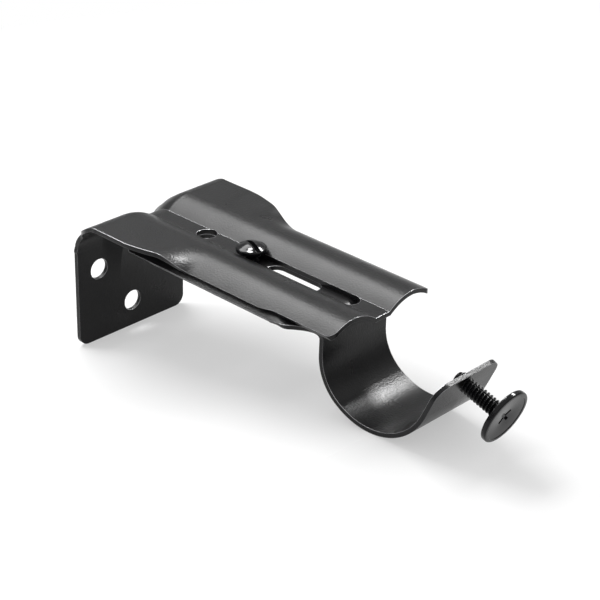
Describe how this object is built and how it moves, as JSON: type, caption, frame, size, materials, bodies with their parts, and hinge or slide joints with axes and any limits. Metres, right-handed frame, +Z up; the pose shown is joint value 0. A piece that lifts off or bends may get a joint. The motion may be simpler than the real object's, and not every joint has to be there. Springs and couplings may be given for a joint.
{
  "type": "curtain pole bracket",
  "caption": "Adjustable wall bracket of pressed sheet steel: ribbed arms slide one under the other, are clamped by a screw, and end in a round cup with a set screw for a curtain pole.",
  "frame": {"origin": "middle of the flat back of the wall plate", "axes": "+X out from the wall along the arms, +Y along the wall and along the pole, +Z up"},
  "size_m": [0.1312, 0.0458, 0.0414],
  "materials": {
    "sheet_coating": "satin black coating with a fine grain",
    "screw_coating": "glossy black plating"
  },
  "bodies": {
    "wall_side": {"wall_arm": "sheet_coating"},
    "pole_side": {"cup_arm": "sheet_coating"},
    "clamp": {"clamp_screw": "screw_coating"},
    "set": {"set_screw": "screw_coating"}
  },
  "joints": [
    {"name": "arm_slide", "type": "slide", "parent": "wall_side", "child": "pole_side", "axis": [1, 0, 0], "range_m": [0, 0.034]},
    {"name": "clamp_turn", "type": "hinge", "parent": "pole_side", "child": "clamp", "pos_m": [0.0471, 0, 0.0252], "axis": [0, 0, 1], "continuous": true},
    {"name": "set_advance", "type": "slide", "parent": "pole_side", "child": "set", "axis": [-0.9563, 0, 0.2924], "range_m": [-0.001, 0.01]}
  ]
}
